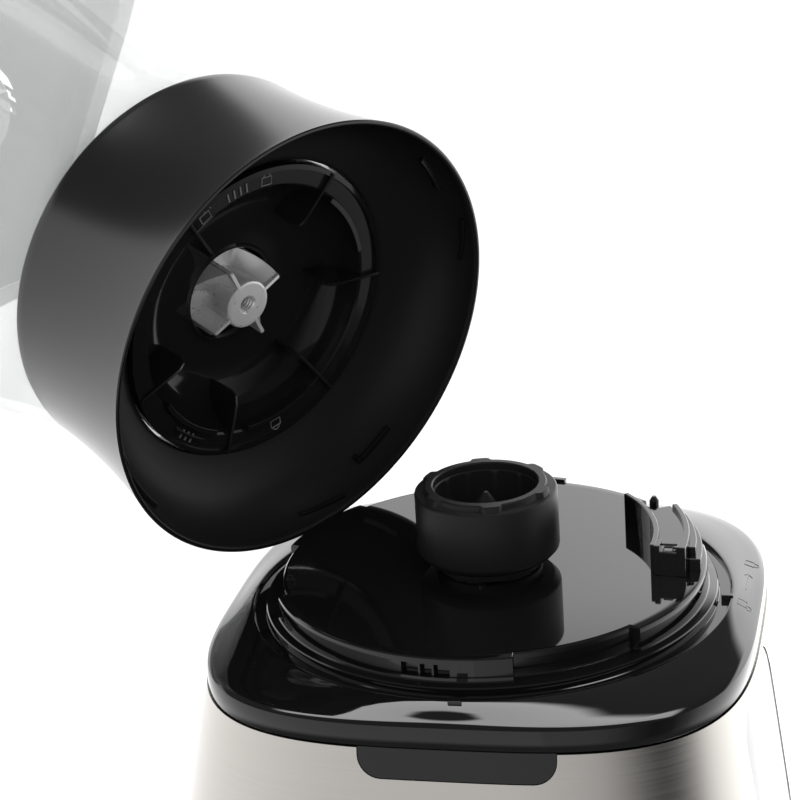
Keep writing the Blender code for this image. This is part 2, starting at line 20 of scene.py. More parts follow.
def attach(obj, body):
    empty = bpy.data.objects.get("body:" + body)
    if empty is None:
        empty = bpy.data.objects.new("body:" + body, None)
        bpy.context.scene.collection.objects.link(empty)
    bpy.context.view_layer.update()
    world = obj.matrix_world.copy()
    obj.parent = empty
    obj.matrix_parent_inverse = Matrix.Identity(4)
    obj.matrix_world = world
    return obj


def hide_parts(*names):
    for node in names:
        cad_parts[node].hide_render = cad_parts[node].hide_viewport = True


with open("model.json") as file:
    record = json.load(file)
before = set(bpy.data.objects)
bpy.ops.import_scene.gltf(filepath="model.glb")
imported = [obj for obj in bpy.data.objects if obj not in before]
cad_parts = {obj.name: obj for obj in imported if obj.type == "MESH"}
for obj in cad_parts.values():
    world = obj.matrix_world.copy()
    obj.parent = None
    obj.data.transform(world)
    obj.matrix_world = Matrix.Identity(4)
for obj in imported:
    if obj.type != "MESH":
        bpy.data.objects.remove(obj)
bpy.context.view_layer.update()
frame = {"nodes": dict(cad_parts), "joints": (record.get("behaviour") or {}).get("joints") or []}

MM = 0.001
FINE = 192  # points round a visible ring
LOG = logging.getLogger("blender_looks")


# ---- shaders ---------------------------------------------------------------------------------------------
class Link:
    """A shader socket that takes part in arithmetic."""

    def __init__(self, net: "Net", socket: bpy.types.NodeSocket) -> None:
        """Keeps the socket and the net it belongs to."""
        self.net, self.socket = net, socket

    def __add__(self, other: "Link | float") -> "Link":
        """This plus other."""
        return self.net.maths("ADD", self, other)

    def __sub__(self, other: "Link | float") -> "Link":
        """This minus other."""
        return self.net.maths("SUBTRACT", self, other)

    def __rsub__(self, other: float) -> "Link":
        """A number minus this."""
        return self.net.maths("SUBTRACT", other, self)

    def __mul__(self, other: "Link | float") -> "Link":
        """This times other."""
        return self.net.maths("MULTIPLY", self, other)

    __radd__ = __add__
    __rmul__ = __mul__


class Net:
    """A node tree under construction."""

    def __init__(self, tree: bpy.types.NodeTree) -> None:
        """Empties the tree."""
        self.tree = tree
        tree.nodes.clear()

    def node(self, kind: str, settings: dict | None = None, **sockets) -> bpy.types.Node:
        """Adds a node.

        Args:
            kind: the node's type without its ShaderNode prefix.
            settings: attributes set before the sockets; "stops" fills a ramp.
            sockets: values or links by socket name, with spaces written as underscores, or by number as i0.

        Returns:
            The new node.
        """
        made = self.tree.nodes.new("ShaderNode" + kind)
        for key, value in (settings or {}).items():
            if key == "stops":
                self._fill_ramp(made.color_ramp, value)
            else:
                setattr(made, key, value)
        for key, value in sockets.items():
            if key[0] == "i" and key[1:].isdigit():
                target = made.inputs[int(key[1:])]
            else:
                target = made.inputs[key if key in made.inputs else key.replace("_", " ")]
            if isinstance(value, Link):
                self.tree.links.new(value.socket, target)
            else:
                target.default_value = value
        return made

    @staticmethod
    def _fill_ramp(ramp: bpy.types.ColorRamp, stops: Sequence[tuple[float, float]]) -> None:
        """Gives a ramp its grey stops.

        Args:
            ramp: the ramp to fill.
            stops: the place and the grey of each stop.
        """
        while len(ramp.elements) < len(stops):
            ramp.elements.new(0.5)
        for element, (at, grey) in zip(ramp.elements, stops):
            element.position = at
            element.color = (grey, grey, grey, 1.0)

    def out(self, node: bpy.types.Node, name: str) -> Link:
        """A node's output as a link."""
        return Link(self, node.outputs[name])

    def maths(self, operation: str, a: Link | float, b: Link | float = 0.0) -> Link:
        """One Math node on two values."""
        return self.out(self.node("Math", {"operation": operation}, i0=a, i1=b), "Value")

    def noise(self, scale: float, stretch: tuple[float, float, float] = (1, 1, 1),
              detail: float = 4.0) -> Link:
        """Noise through the object's own space.

        Args:
            scale: how fine it is.
            stretch: how much it is squeezed along each axis.
            detail: how many finer layers it has.

        Returns:
            Its value, 0 to 1.
        """
        space = self.out(self.node("TexCoord"), "Object")
        placed = self.node("Mapping", None, Vector=space, Scale=stretch)
        grain = self.node("TexNoise", None, Vector=self.out(placed, "Vector"), Scale=scale, Detail=detail)
        return self.out(grain, "Fac")

    def between(self, mask: Link, low: Sequence[float], high: Sequence[float]) -> Link:
        """A colour that goes with a mask.

        Args:
            mask: the mask.
            low: the colour where the mask is 0.
            high: the colour where the mask is 1.

        Returns:
            The mixed colour.
        """
        mixed = self.node("Mix", {"data_type": "RGBA"}, i0=mask, i6=(*low, 1), i7=(*high, 1))
        return Link(self, mixed.outputs[2])

    def bump(self, height: Link, depth: float, strength: float = 1.0) -> Link:
        """A normal from a height field; depth is in metres."""
        return self.out(self.node("Bump", None, Height=height, Distance=depth, Strength=strength), "Normal")

    def step(self, value: Link, low: float, high: float) -> Link:
        """A smooth step from 0 where the value is low to 1 where it is high."""
        made = self.node("MapRange", {"interpolation_type": "SMOOTHSTEP"}, Value=value, From_Min=low,
                         From_Max=high)
        return self.out(made, "Result")

    def finish(self, **sockets) -> None:
        """Ends the tree with a Principled shader holding the sockets."""
        shader = self.node("BsdfPrincipled", None, **sockets)
        output = self.node("OutputMaterial")
        self.tree.links.new(shader.outputs["BSDF"], output.inputs["Surface"])


@dataclass(frozen=True)
class Finish:
    """A surface finish that is made once and shared."""

    name: str

    def dress(self, net: Net) -> None:
        """Fills the net; each finish has its own."""
        raise NotImplementedError

    def material(self) -> bpy.types.Material:
        """The Blender material of this finish."""
        made = bpy.data.materials.get(self.name)
        if made is None:
            made = bpy.data.materials.new(self.name)
            made.use_nodes = True
            self.dress(Net(made.node_tree))
        return made


@dataclass(frozen=True)
class BrushedSteel(Finish):
    """Stainless sheet brushed round the machine."""

    tint: tuple[float, float, float] = (0.66, 0.635, 0.60)
    dull: float = 0.86
    rough: float = 0.22
    stretch: tuple[float, float, float] = (4, 4, 2600)

    def dress(self, net: Net) -> None:
        """Long fine scratches over soft cloudy variation.

        Args:
            net: the material's nodes.
        """
        scratch = net.noise(1.0, self.stretch, 3.0)
        cloud = net.noise(9.0, (1, 1, 2), 2.0)
        darker = tuple(c * self.dull for c in self.tint)
        net.finish(Base_Color=net.between(scratch * 0.7 + cloud * 0.3, darker, self.tint), Metallic=1.0,
                   Roughness=scratch * 0.16 + cloud * 0.06 + (self.rough - 0.1),
                   Anisotropic=0.55, Normal=net.bump(scratch, 0.00002, 0.35))


@dataclass(frozen=True)
class Moulded(Finish):
    """Moulded plastic or rubber, from piano gloss to chalky."""

    tint: tuple[float, float, float] = (0.01, 0.01, 0.011)
    rough: float = 0.08
    vary: float = 0.04
    grain: float = 0.0
    grain_scale: float = 900.0
    coat: float = 0.0
    lift: float = 1.25
    gloss: float = 0.5
    bump_depth: float = 0.00006
    coat_rough: float = 0.03

    def dress(self, net: Net) -> None:
        """A little unevenness of colour and gloss, and the mould's grain where it has one.

        Args:
            net: the material's nodes.
        """
        cloud = net.noise(22.0, detail=5.0)
        sockets = {
            "Base_Color": net.between(cloud, self.tint, tuple(c * self.lift for c in self.tint)),
            "Roughness": cloud * (2 * self.vary) + (self.rough - self.vary),
        }
        if self.grain:
            grain = net.noise(self.grain_scale, detail=3.0)
            sockets["Normal"] = net.bump(grain, self.bump_depth, self.grain)
        sockets["Specular_IOR_Level"] = self.gloss
        if self.coat:
            sockets.update(Coat_Weight=self.coat, Coat_Roughness=self.coat_rough)
        net.finish(**sockets)


@dataclass(frozen=True)
class Metal(Finish):
    """Cast, turned or ground bare metal."""

    tint: tuple[float, float, float] = (0.62, 0.62, 0.62)
    rough: float = 0.3
    grain: float = 0.3
    stretch: tuple[float, float, float] = (1, 1, 1)
    scale: float = 420.0
    metal: float = 1.0
    dull: float = 0.8

    def dress(self, net: Net) -> None:
        """Fine grain in the gloss, with dull patches.

        Args:
            net: the material's nodes.
        """
        grain = net.noise(self.scale, self.stretch, 4.0)
        patch = net.noise(60.0, detail=3.0)
        darker = tuple(c * self.dull for c in self.tint)
        net.finish(Base_Color=net.between(patch, darker, self.tint), Metallic=self.metal,
                   Roughness=grain * 0.14 + patch * 0.1 + (self.rough - 0.12),
                   Normal=net.bump(grain, 0.00004, self.grain))


@dataclass(frozen=True)
class Clear(Finish):
    """Clear glass or plastic."""

    tint: tuple[float, float, float] = (0.985, 0.993, 0.99)
    index: float = 1.5
    rough: float = 0.0
    wave: float = 0.12
    depth: float = 0.002

    def dress(self, net: Net) -> None:
        """Faint waviness in a clear body."""
        wave = net.noise(16.0, detail=1.5)
        net.finish(Base_Color=net.between(wave, self.tint, (1.0, 1.0, 1.0)),
                   Roughness=wave * 0.02 + self.rough, IOR=self.index, Transmission_Weight=1.0,
                   Normal=net.bump(wave, self.depth, self.wave))


class Look(Enum):
    """The finishes of the machine."""

    WRAPPER = BrushedSteel("brushed_wrapper")
    PIANO = Moulded("piano_black", (0.0035, 0.0035, 0.0038), 0.045, 0.02, coat=0.25)
    INNER = Moulded("collar_inside_black", (0.005, 0.005, 0.0053), 0.2, 0.03, gloss=0.3)
    LINING = Moulded("collar_lining_black", (0.0062, 0.0062, 0.0065), 0.42, 0.04, gloss=0.2)
    BOWL = Moulded("blade_unit_black", (0.0055, 0.0055, 0.0058), 0.09, 0.03, gloss=0.22)
    SATIN = Moulded("collar_satin_black", (0.0042, 0.0042, 0.0045), 0.19, 0.03, 0.1, 1500.0, gloss=0.55)
    TAB = Moulded("tab_matte_grey", (0.009, 0.009, 0.0094), 0.5, 0.04, 0.2, 1200.0)
    SLEEVE = Moulded("sleeve_rubber", (0.0065, 0.0065, 0.0068), 0.4, 0.06, 0.25, 700.0, lift=1.6,
                      gloss=0.25)
    FOOT = Moulded("foot_rubber", (0.02, 0.02, 0.02), 0.65, 0.05, 0.3, 500.0)
    PANEL = Moulded("panel_light_grey", (0.47, 0.47, 0.465), 0.2, 0.03, coat=0.3, lift=1.03)
    ICON = Moulded("icon_grey", (0.09, 0.09, 0.09), 0.4, 0.03)
    PRINT = Moulded("icon_print", (0.3, 0.3, 0.3), 0.5, 0.03)
    CAST = Metal("die_cast_zinc", (0.72, 0.72, 0.72), 0.3, 0.35, metal=0.6)
    GROUND = Metal("ground_steel", (0.68, 0.68, 0.67), 0.24, 0.2, (1, 1, 6), 300.0)
    SPUN = Metal("spun_knob", (0.72, 0.72, 0.7), 0.25, 0.3, (1, 6, 1), 260.0)
    WINDING = Metal("copper_winding", (0.75, 0.36, 0.17), 0.4, 0.6, (1, 1, 8), 500.0)
    BRASS = Metal("plain_brass", (0.75, 0.58, 0.28), 0.35)
    BOARD = Moulded("circuit_board", (0.02, 0.14, 0.06), 0.45, 0.05, 0.3, 400.0)
    SEAL = Moulded("milky_silicone", (0.62, 0.62, 0.6), 0.45, 0.05, 0.1)
    GLASS = Clear("jar_glass")
    CUP = Clear("cup_plastic", (0.93, 0.95, 0.95), 1.46, 0.03, 0.05)

    @property
    def material(self) -> bpy.types.Material:
        """The Blender material."""
        return self.value.material()


# ---- shapes ----------------------------------------------------------------------------------------------
@dataclass
class Shape:
    """Points in millimetres and the faces between them."""

    points: np.ndarray
    faces: list[tuple[int, ...]]

    def plus(self, *others: "Shape") -> "Shape":
        """This shape and others in one list, not welded.

        Args:
            others: the shapes to add.

        Returns:
            All of them together.
        """
        points, faces = [self.points], list(self.faces)
        count = len(self.points)
        for other in others:
            faces += [tuple(i + count for i in f) for f in other.faces]
            points.append(other.points)
            count += len(other.points)
        return Shape(np.concatenate(points), faces)

    def spun(self, degrees: float) -> "Shape":
        """Turned round the vertical axis.

        Args:
            degrees: how far.

        Returns:
            The turned shape.
        """
        a = math.radians(degrees)
        m = np.array([[math.cos(a), -math.sin(a), 0], [math.sin(a), math.cos(a), 0], [0, 0, 1]])
        return Shape(self.points @ m.T, self.faces)

    def moved(self, x: float = 0, y: float = 0, z: float = 0) -> "Shape":
        """Shifted by x, y, z."""
        return Shape(self.points + np.array([x, y, z]), self.faces)

    def mapped(self, change: Callable[[np.ndarray], np.ndarray]) -> "Shape":
        """With every point put through a function."""
        return Shape(change(self.points), self.faces)


def circle(n: int = FINE) -> np.ndarray:
    """Angles of n points round a circle."""
    return np.arange(n) * 2 * np.pi / n


def ring(radius: float | np.ndarray, z: float | np.ndarray, n: int = FINE) -> np.ndarray:
    """Points round the vertical axis.

    Args:
        radius: one number, or one per point.
        z: their height, one number or one per point.
        n: how many.

    Returns:
        The points, one to a row.
    """
    t = circle(n)
    r = np.broadcast_to(radius, t.shape)
    return np.stack([r * np.cos(t), r * np.sin(t), np.broadcast_to(z, t.shape)], 1)


def bowed(half: float, power: float, n: int = FINE) -> np.ndarray:
    """Radii of a rounded square whose sides bow softly."""
    t = circle(n)
    return half / (np.abs(np.cos(t)) ** power + np.abs(np.sin(t)) ** power) ** (1 / power)


def filleted(half: float, corner: float, n: int = FINE) -> np.ndarray:
    """Radii of a square with flat sides and round corners.

    Args:
        half: half its width.
        corner: the corners' radius.
        n: how many radii.

    Returns:
        One radius for each point of a circle.
    """
    t = np.abs((circle(n) + np.pi / 4) % (np.pi / 2) - np.pi / 4)
    k, c, s = half - corner, np.cos(t), np.sin(t)
    bend = k * (c + s) + np.sqrt(np.maximum(corner**2 - k**2 * (1 - 2 * c * s), 0))
    return np.where(half * s / c <= k, half / c, bend)


def skin(rings: Sequence[np.ndarray], loop: bool = False) -> Shape:
    """Faces through rings of the same point count.

    Args:
        rings: the rings in order.
        loop: whether the last joins the first, instead of a cap on each.

    Returns:
        The closed shape.
    """
    n, faces = len(rings[0]), []
    for i in range(len(rings) if loop else len(rings) - 1):
        a, b = i * n, ((i + 1) % len(rings)) * n
        faces += [(a + k, a + (k + 1) % n, b + (k + 1) % n, b + k) for k in range(n)]
    if not loop:
        last = (len(rings) - 1) * n
        faces += [tuple(range(n))[::-1], tuple(range(last, last + n))]
    return Shape(np.concatenate(rings), faces)


def turned(profile: Sequence[tuple[float, float]], n: int = FINE, loop: bool = True) -> Shape:
    """A profile of (radius, z) turned round the vertical axis."""
    return skin([ring(r, z, n) for r, z in profile], loop)


def drawn(outline: Sequence[tuple[float, float]], z0: float, z1: float) -> Shape:
    """An outline of (x, y) drawn from z0 to z1."""
    flat = np.asarray(outline, float)
    return skin([np.column_stack([flat, np.full(len(flat), z)]) for z in (z0, z1)])


def slab(x0: float, x1: float, y0: float, y1: float, z0: float, z1: float) -> Shape:
    """A block between two corners."""
    return drawn([(x0, y0), (x1, y0), (x1, y1), (x0, y1)], z0, z1)


def arc_band(r0: float, r1: float, a0: float, a1: float, z0: float, z1: float, steps: int = 24) -> Shape:
    """Part of a tube.

    Args:
        r0: its inner radius.
        r1: its outer radius.
        a0: the angle in degrees that it starts at.
        a1: the angle that it ends at.
        z0: its lower height.
        z1: its upper height.
        steps: segments along it.

    Returns:
        The closed shape.
    """
    t = np.radians(np.linspace(a0, a1, steps + 1))
    outer = [(r1 * math.cos(a), r1 * math.sin(a)) for a in t]
    return drawn(outer + [(r0 * math.cos(a), r0 * math.sin(a)) for a in t[::-1]], z0, z1)


def upright(outline: Sequence[tuple[float, float]], thick: float) -> Shape:
    """A plate in the plane of the drive axis, from an outline of (radius, z)."""
    return skin([np.array([(r, side * thick / 2, z) for r, z in outline]) for side in (-1, 1)])


def soft_oblong(width: float, height: float, corner: float, steps: int = 8) -> list[tuple[float, float]]:
    """A rounded rectangle's outline about the origin.

    Args:
        width: its width.
        height: its height.
        corner: the corners' radius.
        steps: segments in each corner.

    Returns:
        Its points, anticlockwise.
    """
    out = []
    for sx, sy, start in ((1, 1, 0), (-1, 1, 90), (-1, -1, 180), (1, -1, 270)):
        for k in range(steps + 1):
            t = math.radians(start + 90 * k / steps)
            out.append((sx * (width / 2 - corner) + corner * math.cos(t),
                        sy * (height / 2 - corner) + corner * math.sin(t)))
    return out


def tube(path: np.ndarray, wide: float | np.ndarray, thin: float | np.ndarray, side: Sequence[float],
         n: int = 24) -> Shape:
    """An oval rod along a path.

    Args:
        path: the points of its middle line.
        wide: half its width along side, one value or one per point.
        thin: half its width the other way.
        side: the direction that its width keeps to.
        n: points round it.

    Returns:
        The capped rod.
    """
    along = np.gradient(path, axis=0)
    along /= np.linalg.norm(along, axis=1)[:, None]
    across = np.cross(np.asarray(side, float), along)
    across /= np.linalg.norm(across, axis=1)[:, None]
    t, count = circle(n), len(path)
    w, h = np.broadcast_to(wide, count), np.broadcast_to(thin, count)
    rings = [p + w[i] * np.cos(t)[:, None] * np.asarray(side, float) + h[i] * np.sin(t)[:, None] * across[i]
             for i, p in enumerate(path)]
    return skin(rings)


def smooth_path(points: Sequence[Sequence[float]], steps: int = 8) -> np.ndarray:
    """A Catmull-Rom curve through points.

    Args:
        points: the points, each of three numbers.
        steps: segments from each to the next.

    Returns:
        The curve's points.
    """
    p = np.asarray(points, float)
    p = np.vstack([2 * p[0] - p[1], p, 2 * p[-1] - p[-2]])
    out = []
    for i in range(1, len(p) - 2):
        for k in range(steps):
            t = k / steps
            out.append(0.5 * (2 * p[i] + (p[i + 1] - p[i - 1]) * t
                              + (2 * p[i - 1] - 5 * p[i] + 4 * p[i + 1] - p[i + 2]) * t**2
                              + (3 * p[i] - p[i - 1] - 3 * p[i + 1] + p[i + 2]) * t**3))
    return np.array(out + [p[-2]])


# ---- placing ---------------------------------------------------------------------------------------------
class Place:
    """Turns millimetres round the drive axis into the row's metres, at rest."""

    def __init__(self) -> None:
        """Reads the drive axis and the jar's tip from the frame."""
        joints = {j["name"]: j for j in frame["joints"]}
        spin, tip = joints["motor_spin"], joints["jar_tip"]
        self.drive = Vector((spin["pos_m"][0], spin["pos_m"][1], 0.0))
        pivot, axis = Vector(tip["pos_m"]), Vector(tip["axis"]).normalized()
        turn = Quaternion(axis, math.radians(-tip["range_deg"][0])).to_matrix().to_4x4()
        self.tipped = Matrix.Translation(pivot) @ turn @ Matrix.Translation(-pivot)

    def base(self) -> Matrix:
        """For pieces that stand on the floor."""
        return Matrix.Translation(self.drive) @ Matrix.Scale(MM, 4)

    def jar(self) -> Matrix:
        """For pieces of the jar, which is off its seat."""
        return self.tipped @ self.base()


PLACE = Place()


@dataclass
class Piece:
    """How a shape becomes a shown piece."""

    name: str
    body: str
    look: Look
    stands_for: tuple[str, ...] = ()
    slot: str = ""
    in_jar: bool = False
    edge: float = 0.0
    sharp: float = 32.0

    def make(self, shape: Shape, cut: Sequence[Shape] = (), join: Sequence[Shape] = (),
             keep: Sequence[Shape] = ()) -> bpy.types.Object:
        """Args:
            shape: the piece's own shape.
            cut: shapes taken out of it.
            join: shapes welded to it.
            keep: shapes that it is trimmed to.

        Returns:
            The object.
        """
        made = self.bare(self.name, shape)
        for tools, way in ((join, "UNION"), (cut, "DIFFERENCE"), (keep, "INTERSECT")):
            for tool in tools:
                self.carve(made, tool, way)
        made.data.transform(PLACE.jar() if self.in_jar else PLACE.base())
        made.data.materials.clear()
        made.data.materials.append(self.look.material)
        made.data.shade_smooth()
        made.data.set_sharp_from_angle(angle=math.radians(self.sharp))
        if self.edge:
            bevel = made.modifiers.new("soft_edges", "BEVEL")
            bevel.width, bevel.segments, bevel.limit_method = self.edge * MM, 2, "ANGLE"
            bevel.angle_limit, bevel.harden_normals = math.radians(38), True
        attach(made, self.body)
        if self.stands_for:
            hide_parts(*self.stands_for)
        LOG.info("%s: %d faces on %s", self.name, len(made.data.polygons), self.body)
        return made

    @staticmethod
    def bare(name: str, shape: Shape) -> bpy.types.Object:
        """A mesh object in millimetres with its normals facing out.

        Args:
            name: its name.
            shape: its points and faces.

        Returns:
            The object, linked to the scene.
        """
        mesh = bpy.data.meshes.new(name)
        mesh.from_pydata(shape.points.tolist(), [], [list(f) for f in shape.faces])
        bm = bmesh.new()
        bm.from_mesh(mesh)
        bmesh.ops.remove_doubles(bm, verts=bm.verts, dist=1e-5)
        bmesh.ops.recalc_face_normals(bm, faces=bm.faces)
        bm.to_mesh(mesh)
        bm.free()
        made = bpy.data.objects.new(name, mesh)
        bpy.context.scene.collection.objects.link(made)
        return made

    @classmethod
    def carve(cls, made: bpy.types.Object, tool_shape: Shape, way: str) -> None:
        """Applies one exact Boolean to an object's mesh.

        Args:
            made: the object.
            tool_shape: the shape that it is joined to, cut by or trimmed to.
            way: Blender's name for the operation.
        """
        tool = cls.bare("tool", tool_shape)
        step = made.modifiers.new("carve", "BOOLEAN")
        step.operation, step.solver, step.object = way, "EXACT", tool
        bpy.context.view_layer.update()
        shown = made.evaluated_get(bpy.context.evaluated_depsgraph_get())
        mesh = bpy.data.meshes.new_from_object(shown)
        made.modifiers.clear()
        made.data = mesh
        bpy.data.objects.remove(tool, do_unlink=True)


# ---- base ------------------------------------------------------------------------------------------------
@dataclass
class Wrapper:
    """The brushed steel wrapper, the tabs in its side notches and the control panel in its front.

    A tab is its middle along the wall, width, depth and corner. The panel is its middle along the
    wall and above the floor, width and height.
    """

    top: float = 178.4
    bottom: float = 16.0
    half: float = 87.4
    flare: float = 0.175
    bow: float = 0.00012
    back: float = 0.04
    power: float = 3.3
    sheet: float = 1.3
    tab: tuple[float, float, float, float] = (-4.0, 60.0, 9.2, 7.0)
    panel: tuple[float, float, float, float] = (-22.0, 110.4, 52.0, 132.8)
    panel_corner: float = 15.7
    gap: float = 0.25
    above: float = 13.0
    gland: tuple[float, float] = (40.0, 8.5)
    stem: tuple[float, float] = (90.0, 6.0)
    buttons: tuple[float, float, float] = (60.0, 6.6, 16.0)

    def half_at(self, z: float) -> float:
        """Half width of the outside at a height."""
        down = self.top - z
        return self.half + self.flare * down - self.bow * down**2

    def outline(self, inset: float, z: float) -> np.ndarray:
        """The outline at a height, whose middle moves back as it goes down."""
        shift = np.array([0, self.back * (self.top - z), 0])
        return ring(bowed(self.half_at(z) - inset, self.power), z) + shift

    def wall(self, inset: float, thick: float, high: float, low: float, steps: int = 24) -> Shape:
        """A shell that follows the wrapper's outside.

        Args:
            inset: how far inside the wrapper's outside it starts.
            thick: its thickness.
            high: its upper height.
            low: its lower height.
            steps: how many rings it has.

        Returns:
            The closed shell.
        """
        heights = np.linspace(high, low, steps)
        outer = [self.outline(inset, z) for z in heights]
        inner = [self.outline(inset + thick, z) for z in heights[::-1]]
        return skin(outer + inner, True)

    @staticmethod
    def through_side(outline: Sequence[tuple[float, float]], at: tuple[float, float], axis: int,
                     side: int) -> Shape:
        """An outline driven through one wall, as a cutter.

        Args:
            outline: its points, along the wall and upwards.
            at: where its middle is, along the wall and above the floor.
            axis: 0 for a wall that faces X, 1 for one that faces Y.
            side: -1 or 1, which of the two walls.

        Returns:
            The cutter.
        """
        shape = drawn(outline, 50.0, 135.0)
        p = shape.points
        out = np.empty_like(p)
        out[:, axis], out[:, 1 - axis], out[:, 2] = side * p[:, 2], p[:, 0] + at[0], p[:, 1] + at[1]
        return Shape(out, shape.faces)

    def build(self) -> None:
        """Makes the wrapper, its two tabs and the control panel."""
        tab_y, wide, deep, corner = self.tab
        tab_at = (tab_y, self.top + self.above - deep)
        high_cut = 2 * self.above
        x, z, across, high = self.panel
        play = 2 * self.gap
        gland_z, gland_r = self.gland
        cuts = [self.through_side(soft_oblong(wide, high_cut, corner), tab_at, 0, side) for side in (-1, 1)]
        opening = soft_oblong(across + play, high + play, self.panel_corner + 0.3, 12)
        cuts.append(self.through_side(opening, (x, z), 1, -1))
        gland_hole = soft_oblong(2 * gland_r, 2 * gland_r, gland_r - 0.1)
        cuts.append(self.through_side(gland_hole, (0.0, gland_z), 1, 1))
        Piece("steel_wrapper", "base", Look.WRAPPER, ("base_shell",), "steel_wrapper", edge=0.4).make(
            self.wall(0.0, self.sheet, self.top, self.bottom), cut=cuts)
        fill = soft_oblong(wide - 0.4, high_cut - 0.4, corner - 0.2)
        for side, node in ((-1, "left_side_tab"), (1, "right_side_tab")):
            trim = [self.through_side(fill, tab_at, 0, side),
                    slab(-130, 130, -60, 60, 150, self.top + 0.35)]
            Piece(node + "_face", "base", Look.TAB, (node,), "grey_plastic", edge=0.25).make(
                self.wall(0.15, 2.2, self.top + 2, 160.0, 8), keep=trim)
        self._panel()

    def _panel(self) -> None:
        """Makes the control panel, with holes for the knob's stem and the three buttons."""
        x, z, across, high = self.panel
        button_z, button_r, apart = self.buttons
        round_holes = [(0.0, *self.stem)] + [(k * apart, button_z, button_r) for k in (-1, 0, 1)]
        holes = [self.through_side(soft_oblong(2 * r, 2 * r, r - 0.05, 12), (x + dx, at), 1, -1)
                 for dx, at, r in round_holes]
        face = self.through_side(soft_oblong(across, high, self.panel_corner, 12), (x, z), 1, -1)
        Piece("panel_face", "base", Look.PANEL, ("control_panel",), "panel_grey", edge=0.3).make(
            self.wall(0.35, 2.0, self.top + 2, 30.0, 16), keep=[face], cut=holes)


